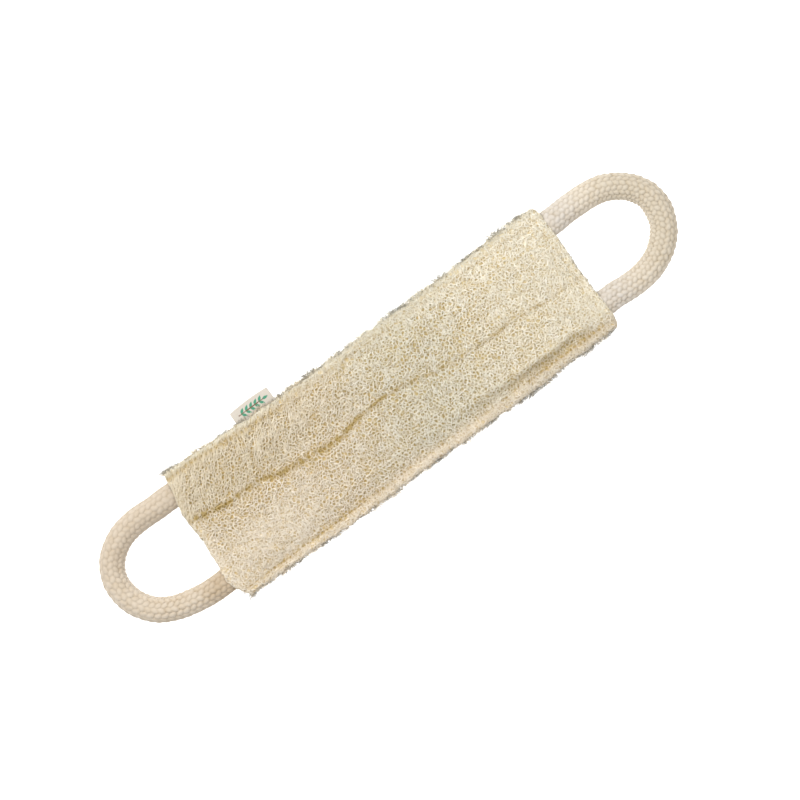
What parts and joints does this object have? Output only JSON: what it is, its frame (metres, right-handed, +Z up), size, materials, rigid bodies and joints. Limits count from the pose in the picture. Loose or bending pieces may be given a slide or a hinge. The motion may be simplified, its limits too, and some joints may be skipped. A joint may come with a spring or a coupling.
{
  "type": "loofah back scrubber",
  "caption": "Long flat bath scrubber of two sewn loofah mats with a thick cotton rope loop handle at each end, pulled to and fro across the back.",
  "frame": {"origin": "middle of the flat underside of the back mat, on the surface that the scrubber lies on", "axes": "+X along the scrubber's length, from the label's end to the other end; +Y across it, towards the edge with the label; +Z up, out of the front mat"},
  "size_m": [0.5217, 0.1205, 0.0223],
  "materials": {
    "loofah": "dry cream loofah net of fine curling fibres over ochre pores, matt",
    "cotton_rope": "undyed solid-braided cotton rope, knobbly scale-like stitches, matt with a faint fuzz",
    "seam_thread": "tan cotton sewing thread, matt",
    "label_cloth": null
  },
  "bodies": {
    "pad_centre": {"loofah_front_centre": "loofah", "loofah_back_centre": "loofah", "seam_thread_front_upper_centre": "seam_thread", "seam_thread_front_lower_centre": "seam_thread", "seam_thread_back_upper_centre": "seam_thread", "seam_thread_back_lower_centre": "seam_thread"},
    "pad_left": {"loofah_front_left": "loofah", "loofah_back_left": "loofah", "seam_thread_front_upper_left": "seam_thread", "seam_thread_front_lower_left": "seam_thread", "seam_thread_back_upper_left": "seam_thread", "seam_thread_back_lower_left": "seam_thread", "seam_thread_front_end_left": "seam_thread", "seam_thread_back_end_left": "seam_thread", "rope_tail_left_upper": "cotton_rope", "rope_tail_left_lower": "cotton_rope", "label": "label_cloth"},
    "pad_right": {"loofah_front_right": "loofah", "loofah_back_right": "loofah", "seam_thread_front_upper_right": "seam_thread", "seam_thread_front_lower_right": "seam_thread", "seam_thread_back_upper_right": "seam_thread", "seam_thread_back_lower_right": "seam_thread", "seam_thread_front_end_right": "seam_thread", "seam_thread_back_end_right": "seam_thread", "rope_tail_right_upper": "cotton_rope", "rope_tail_right_lower": "cotton_rope"},
    "handle_left": {"rope_loop_left": "cotton_rope"},
    "handle_right": {"rope_loop_right": "cotton_rope"}
  },
  "joints": [
    {"name": "pad_bend_left", "type": "hinge", "parent": "pad_centre", "child": "pad_left", "pos_m": [-0.058, 0, 0.0105], "axis": [0, 1, 0], "range_deg": [-40, 40]},
    {"name": "pad_bend_right", "type": "hinge", "parent": "pad_centre", "child": "pad_right", "pos_m": [0.058, 0, 0.0105], "axis": [0, -1, 0], "range_deg": [-40, 40]},
    {"name": "handle_bend_left", "type": "hinge", "parent": "pad_left", "child": "handle_left", "pos_m": [-0.188, 0, 0.0105], "axis": [0, 1, 0], "range_deg": [-60, 60]},
    {"name": "handle_bend_right", "type": "hinge", "parent": "pad_right", "child": "handle_right", "pos_m": [0.188, 0, 0.0105], "axis": [0, -1, 0], "range_deg": [-60, 60]}
  ]
}
